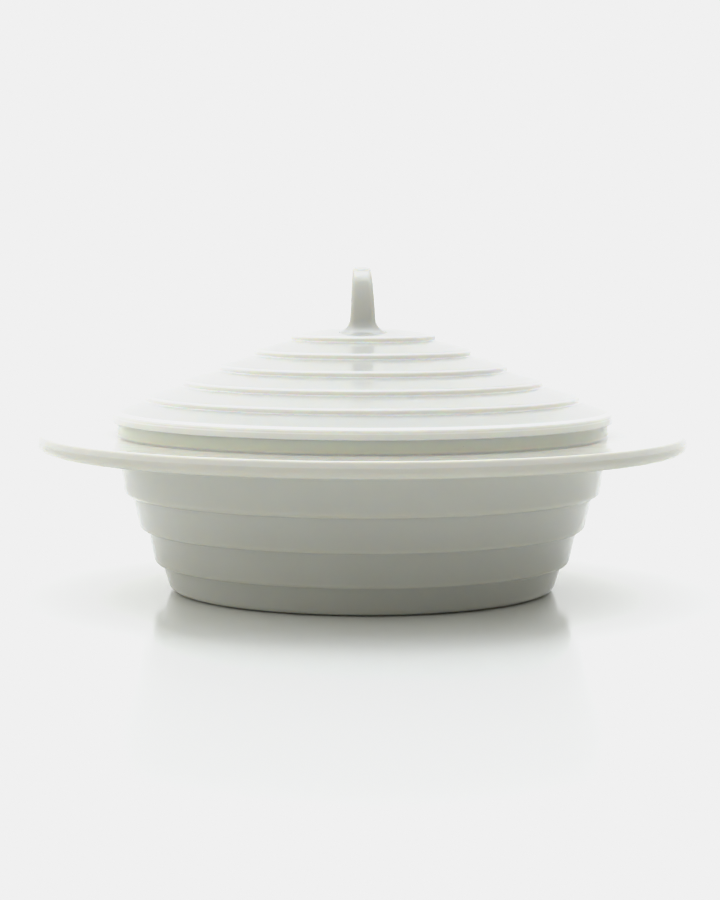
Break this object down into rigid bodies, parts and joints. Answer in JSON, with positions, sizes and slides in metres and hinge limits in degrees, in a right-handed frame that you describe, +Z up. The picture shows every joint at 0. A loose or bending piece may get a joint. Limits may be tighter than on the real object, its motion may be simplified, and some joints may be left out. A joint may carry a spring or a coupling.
{
  "type": "covered casserole dish",
  "caption": "Round porcelain casserole: a stepped tapering bowl with a broad flange, and a stepped conical lid with an upright fin knob that lifts off.",
  "frame": {"origin": "on the vertical axis, in the plane that the foot ring stands on", "axes": "+Z up along the axis of the turned pieces; the knob's broad sides face +X and -X, its narrow ends face -Y (front) and +Y"},
  "size_m": [0.28, 0.28, 0.1398],
  "materials": {
    "bowl_porcelain": "gloss",
    "lid_porcelain": "gloss"
  },
  "bodies": {
    "bowl": {"bowl": "bowl_porcelain"},
    "lid": {"lid": "lid_porcelain"}
  },
  "joints": [
    {"name": "lid_lift", "type": "slide", "parent": "bowl", "child": "lid", "axis": [0, 0, 1], "range_m": [0, 0.1]}
  ]
}
